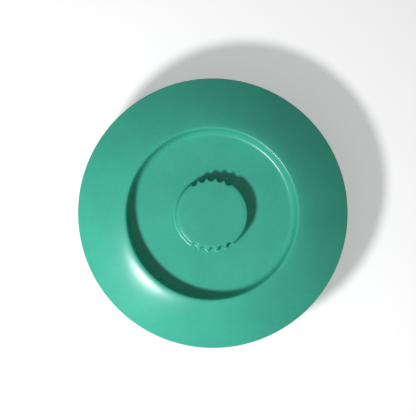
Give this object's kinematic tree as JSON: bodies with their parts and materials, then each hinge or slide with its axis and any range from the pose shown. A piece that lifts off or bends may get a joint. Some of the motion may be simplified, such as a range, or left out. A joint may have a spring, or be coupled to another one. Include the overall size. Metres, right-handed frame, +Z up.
{
  "type": "tortilla warmer",
  "caption": "Round moulded melamine tortilla warmer: a shallow dish and a domed lid with a sunken well and a fluted finger knob.",
  "frame": {"origin": "centre of the foot ring, on the surface the dish stands on", "axes": "+Z up along the dish's axis and the way the lid lifts off; +Y towards the middle of one row of flutes on the knob, -Y towards the other"},
  "size_m": [0.197, 0.197, 0.0511],
  "materials": {
    "base_melamine": "glossy moulded melamine, deep sea green",
    "lid_melamine": "glossy moulded melamine, deep sea green"
  },
  "bodies": {
    "base": {"base": "base_melamine"},
    "lid": {"lid": "lid_melamine"}
  },
  "joints": [
    {"name": "lid_lift", "type": "slide", "parent": "base", "child": "lid", "axis": [0, 0, 1], "range_m": [0, 0.12]}
  ]
}
